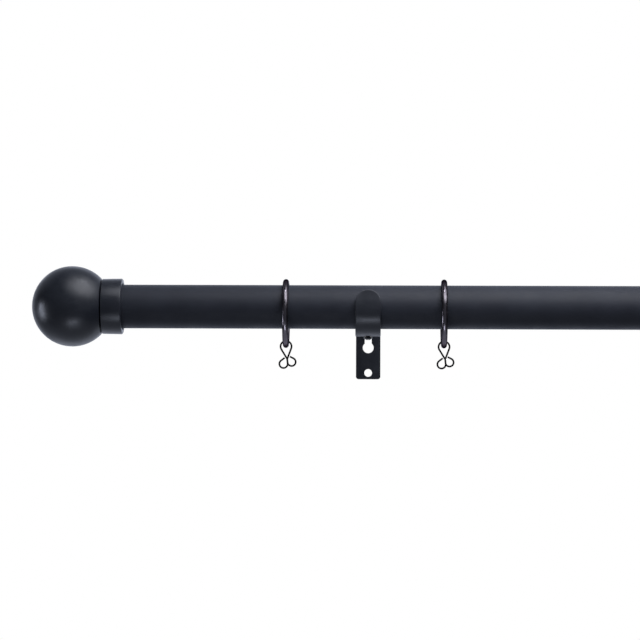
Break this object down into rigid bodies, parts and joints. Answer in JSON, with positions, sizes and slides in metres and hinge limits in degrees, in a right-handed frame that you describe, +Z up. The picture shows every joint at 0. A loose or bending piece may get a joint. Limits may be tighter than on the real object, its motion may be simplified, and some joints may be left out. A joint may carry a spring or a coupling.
{
  "type": "curtain rod with brackets",
  "caption": "Telescopic round curtain rod with ball finials, resting in bent-strip wall brackets and carrying sliding rings with wire eyes.",
  "frame": {"origin": "on the wall, midway across the left bracket's plate, level with the rod's centre line", "axes": "+X along the rod towards its thin end, +Y into the wall, +Z up"},
  "size_m": [0.8252, 0.0858, 0.0736],
  "materials": {
    "rod_paint": "satin black paint on steel tube",
    "collar_paint": "satin black paint",
    "ball_lacquer": "satin black lacquer on cast resin",
    "bracket_paint": "satin black paint on steel strip",
    "screw_black": "black coated steel",
    "ring_nickel": "glossy black nickel",
    "eye_wire": "glossy black wire",
    "black_nylon": "moulded black nylon",
    "zinc_steel": "zinc plated"
  },
  "bodies": {
    "wall_brackets": {"left_bracket": "bracket_paint", "right_bracket": "bracket_paint"},
    "left_lock_screw": {"left_lock_screw": "screw_black"},
    "right_lock_screw": {"right_lock_screw": "screw_black"},
    "rod": {"outer_tube": "rod_paint", "outer_tube_bush": "black_nylon"},
    "left_finial": {"left_finial_ball": "ball_lacquer", "left_finial_collar": "collar_paint", "left_finial_plug": "black_nylon", "left_finial_stud": "zinc_steel"},
    "inner_rod": {"inner_tube": "rod_paint", "inner_tube_guide": "black_nylon", "reducing_sleeve": "black_nylon"},
    "right_finial": {"right_finial_ball": "ball_lacquer", "right_finial_collar": "collar_paint", "right_finial_plug": "black_nylon", "right_finial_stud": "zinc_steel"},
    "ring_1": {"ring_1": "ring_nickel"},
    "ring_eye_1": {"ring_eye_1": "eye_wire"},
    "ring_2": {"ring_2": "ring_nickel"},
    "ring_eye_2": {"ring_eye_2": "eye_wire"},
    "ring_3": {"ring_3": "ring_nickel"},
    "ring_eye_3": {"ring_eye_3": "eye_wire"},
    "ring_4": {"ring_4": "ring_nickel"},
    "ring_eye_4": {"ring_eye_4": "eye_wire"}
  },
  "joints": [
    {"name": "left_lock_screw_travel", "type": "slide", "parent": "wall_brackets", "child": "left_lock_screw", "axis": [0, 0, 1], "range_m": [-0.003, 0]},
    {"name": "right_lock_screw_travel", "type": "slide", "parent": "wall_brackets", "child": "right_lock_screw", "axis": [0, 0, 1], "range_m": [-0.003, 0]},
    {"name": "rod_lift_out", "type": "slide", "parent": "wall_brackets", "child": "rod", "axis": [0, 0.0698, 0.9976], "range_m": [0, 0.045]},
    {"name": "left_finial_pull", "type": "slide", "parent": "rod", "child": "left_finial", "axis": [-1, 0, 0], "range_m": [0, 0.04]},
    {"name": "rod_telescope", "type": "slide", "parent": "rod", "child": "inner_rod", "axis": [1, 0, 0], "range_m": [-0.05, 0.1]},
    {"name": "right_finial_pull", "type": "slide", "parent": "inner_rod", "child": "right_finial", "axis": [1, 0, 0], "range_m": [0, 0.04]},
    {"name": "ring_1_slide", "type": "slide", "parent": "rod", "child": "ring_1", "axis": [1, 0, 0], "range_m": [-0.095, 0.0256]},
    {"name": "ring_eye_1_swing", "type": "hinge", "parent": "ring_1", "child": "ring_eye_1", "pos_m": [-0.0526, -0.06, -0.0244], "axis": [0, 1, 0], "range_deg": [-60, 60]},
    {"name": "ring_2_slide", "type": "slide", "parent": "rod", "child": "ring_2", "axis": [1, 0, 0], "range_m": [-0.0216, 0.219]},
    {"name": "ring_eye_2_swing", "type": "hinge", "parent": "ring_2", "child": "ring_eye_2", "pos_m": [0.0486, -0.06, -0.0244], "axis": [0, 1, 0], "range_deg": [-60, 60]},
    {"name": "ring_3_slide", "type": "slide", "parent": "rod", "child": "ring_3", "axis": [1, 0, 0], "range_m": [-0.037, 0.0216]},
    {"name": "ring_eye_3_swing", "type": "hinge", "parent": "ring_3", "child": "ring_eye_3", "pos_m": [0.3454, -0.06, -0.0259], "axis": [0, 1, 0], "range_deg": [-60, 60]},
    {"name": "ring_4_slide", "type": "slide", "parent": "rod", "child": "ring_4", "axis": [1, 0, 0], "range_m": [-0.0256, 0.033]},
    {"name": "ring_eye_4_swing", "type": "hinge", "parent": "ring_4", "child": "ring_eye_4", "pos_m": [0.4466, -0.06, -0.0259], "axis": [0, 1, 0], "range_deg": [-60, 60]}
  ]
}
